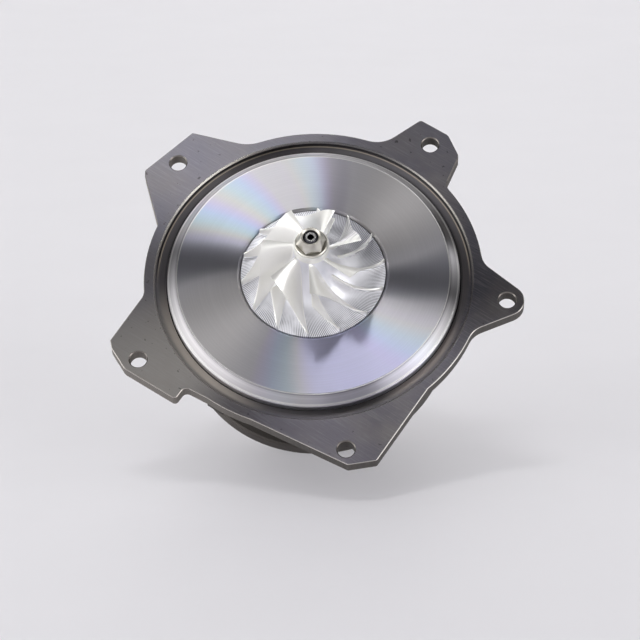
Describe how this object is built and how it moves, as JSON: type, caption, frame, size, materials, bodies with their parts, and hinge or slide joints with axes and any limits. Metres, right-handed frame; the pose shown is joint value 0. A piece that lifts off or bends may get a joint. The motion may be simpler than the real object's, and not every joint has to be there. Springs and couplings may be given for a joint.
{
  "type": "turbocharger cartridge",
  "caption": "Turbocharger bearing cartridge with a bladed compressor wheel, turned diffuser plate, lugged flange, floating bearings and a turbine wheel on one shaft.",
  "frame": {"origin": "on the rotor axis, in the front face of the compressor flange", "axes": "+Z along the rotor axis towards the compressor wheel's nose, +Y towards the oil inlet, +X to the right when the nose faces the viewer and +Y is up"},
  "size_m": [0.158, 0.1511, 0.1191],
  "materials": {
    "cast_housing": "satin, machined on the faces",
    "turned_plate": "bright turned",
    "milled_wheel": "bright milled",
    "cast_turbine": "matt cast nickel alloy",
    "ground_shaft": "ground",
    "nut_steel": "satin",
    "sleeve_steel": "ground",
    "spring_steel": "satin",
    "bronze": "fine turned",
    "shield_sheet": "pressed sheet",
    "black_screw": "black oxide",
    "seal_rubber": "matt"
  },
  "bodies": {
    "cartridge": {"bearing_housing": "cast_housing", "diffuser_plate": "turned_plate", "plate_screws": "black_screw", "plate_o_ring": "seal_rubber", "thrust_bearing": "bronze", "thrust_pins": "spring_steel", "oil_deflector": "shield_sheet", "compressor_seal_ring": "spring_steel", "turbine_seal_ring": "spring_steel", "heat_shield": "shield_sheet", "bearing_circlip_1": "spring_steel", "bearing_circlip_2": "spring_steel", "bearing_circlip_3": "spring_steel", "bearing_circlip_4": "spring_steel"},
    "rotor": {"rotor_shaft": "ground_shaft", "compressor_wheel": "milled_wheel", "turbine_wheel": "cast_turbine", "shaft_nut": "nut_steel", "oil_flinger": "sleeve_steel", "thrust_collar": "sleeve_steel"},
    "compressor_bearing": {"compressor_bearing": "bronze"},
    "turbine_bearing": {"turbine_bearing": "bronze"}
  },
  "joints": [
    {"name": "rotor_spin", "type": "hinge", "parent": "cartridge", "child": "rotor", "pos_m": [0, 0, 0], "axis": [0, 0, 1], "continuous": true},
    {"name": "compressor_bearing_spin", "type": "hinge", "parent": "cartridge", "child": "compressor_bearing", "pos_m": [0, 0, 0], "axis": [0, 0, 1], "continuous": true},
    {"name": "turbine_bearing_spin", "type": "hinge", "parent": "cartridge", "child": "turbine_bearing", "pos_m": [0, 0, 0], "axis": [0, 0, 1], "continuous": true}
  ]
}
